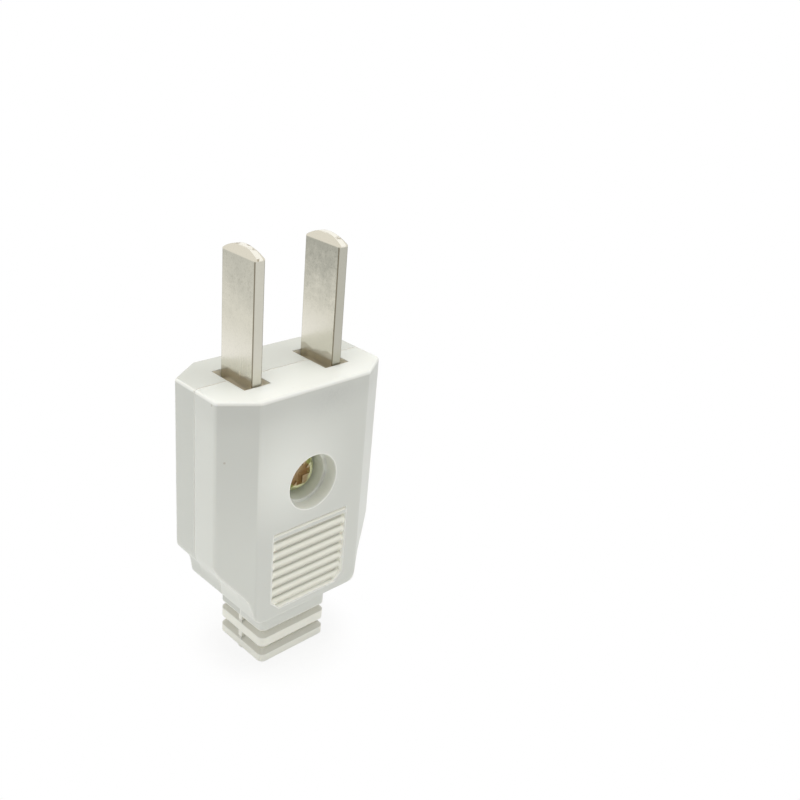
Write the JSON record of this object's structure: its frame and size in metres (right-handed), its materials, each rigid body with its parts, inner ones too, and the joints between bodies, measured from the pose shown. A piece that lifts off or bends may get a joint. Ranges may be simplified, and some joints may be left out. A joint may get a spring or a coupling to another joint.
{
  "type": "rewireable plug",
  "caption": "Flat-blade mains plug in two screwed shells, with a ridged finger grip on each face and a ringed cord-grip neck.",
  "frame": {"origin": "middle of the foot, where the cord enters", "axes": "+X to the right along the row of blades, +Y from the screw head to the back, +Z from the cord entry to the blade tips"},
  "size_m": [0.0262, 0.0146, 0.0586],
  "materials": {
    "shell_plastic": "moulded, satin ivory white",
    "blade_metal": "nickel plated, bright with fine drawing marks",
    "case_screw_metal": "yellow zinc plated",
    "small_metal": "zinc plated, satin",
    "clamp_plastic": "moulded, matt grey"
  },
  "bodies": {
    "root": {"front_shell": "shell_plastic", "back_shell": "shell_plastic", "left_blade": "blade_metal", "right_blade": "blade_metal", "case_screw": "case_screw_metal", "case_nut": "small_metal", "left_terminal_screw": "small_metal", "right_terminal_screw": "small_metal", "left_terminal_washer": "small_metal", "right_terminal_washer": "small_metal", "cord_clamp": "clamp_plastic", "left_clamp_screw": "small_metal", "right_clamp_screw": "small_metal"}
  },
  "joints": []
}
